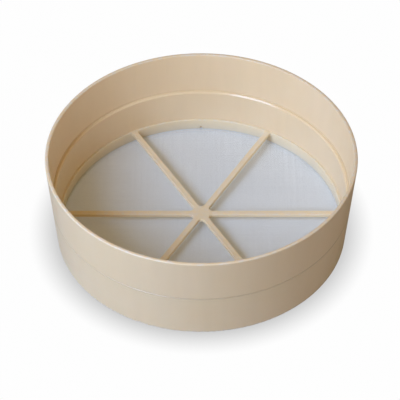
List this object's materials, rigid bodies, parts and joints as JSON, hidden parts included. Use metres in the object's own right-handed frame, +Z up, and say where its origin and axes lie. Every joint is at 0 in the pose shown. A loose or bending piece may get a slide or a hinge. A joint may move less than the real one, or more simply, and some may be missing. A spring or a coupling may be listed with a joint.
{
  "type": "soil sieve",
  "caption": "Round open-topped stacking sieve: a moulded wall hoop over a fine mesh disc held under a spoked frame, for sifting soil and compost.",
  "frame": {"origin": "centre of the resting face, on the sieve's axis", "axes": "+Z up along the sieve's axis towards the open rim; one pair of spokes lies along X; +Y is away from the picture's camera"},
  "size_m": [0.2148, 0.2148, 0.07],
  "materials": {
    "hoop_plastic": "satin moulded, cream",
    "spoke_plastic": "satin moulded, cream",
    "mesh_cloth": "fine woven nylon, greyish white"
  },
  "bodies": {
    "root": {"upper_hoop": "hoop_plastic", "lower_hoop": "hoop_plastic", "spoke_frame": "spoke_plastic", "mesh_screen": "mesh_cloth"}
  },
  "joints": []
}
